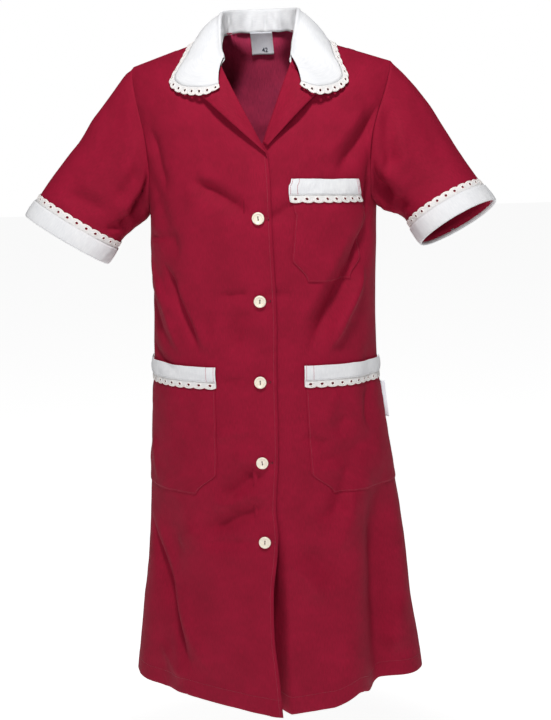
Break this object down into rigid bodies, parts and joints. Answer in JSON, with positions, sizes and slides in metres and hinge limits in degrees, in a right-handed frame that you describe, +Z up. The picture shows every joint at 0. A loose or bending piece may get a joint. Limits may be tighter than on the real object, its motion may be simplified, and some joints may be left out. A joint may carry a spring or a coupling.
{
  "type": "work smock",
  "caption": "Women's short-sleeved work smock, buttoned in front, with a white collar, cuffs and pocket bands edged in scalloped eyelet trim, standing open as if worn.",
  "frame": {"origin": "between the wearer's shoulders, level with the shoulder seams beside the neck, where the wearer holds the smock up", "axes": "+Z up, the front faces -Y, +X to the wearer's left"},
  "size_m": [0.6895, 0.2965, 1.0141],
  "materials": {
    "crimson_poplin": "matt woven poly-cotton",
    "white_poplin": "matt woven cotton",
    "eyelet_trim": "embroidered cotton eyelet lace",
    "woven_label": "smooth woven ribbon",
    "cream_button": "polished cast resin"
  },
  "bodies": {
    "root": {"front_left": "crimson_poplin", "front_right": "crimson_poplin", "back": "crimson_poplin", "sleeve_left": "crimson_poplin", "sleeve_right": "crimson_poplin", "lapel_left": "crimson_poplin", "lapel_right": "crimson_poplin", "chest_pocket": "crimson_poplin", "hip_left_pocket": "crimson_poplin", "hip_right_pocket": "crimson_poplin", "collar": "white_poplin", "cuff_left": "white_poplin", "cuff_right": "white_poplin", "chest_band": "white_poplin", "hip_left_band": "white_poplin", "hip_right_band": "white_poplin", "collar_trim": "eyelet_trim", "cuff_trim_left": "eyelet_trim", "cuff_trim_right": "eyelet_trim", "chest_trim": "eyelet_trim", "hip_left_trim": "eyelet_trim", "hip_right_trim": "eyelet_trim", "neck_label": "woven_label", "side_label": "woven_label", "button_1": "cream_button", "button_2": "cream_button", "button_3": "cream_button", "button_4": "cream_button", "button_5": "cream_button"}
  },
  "joints": []
}
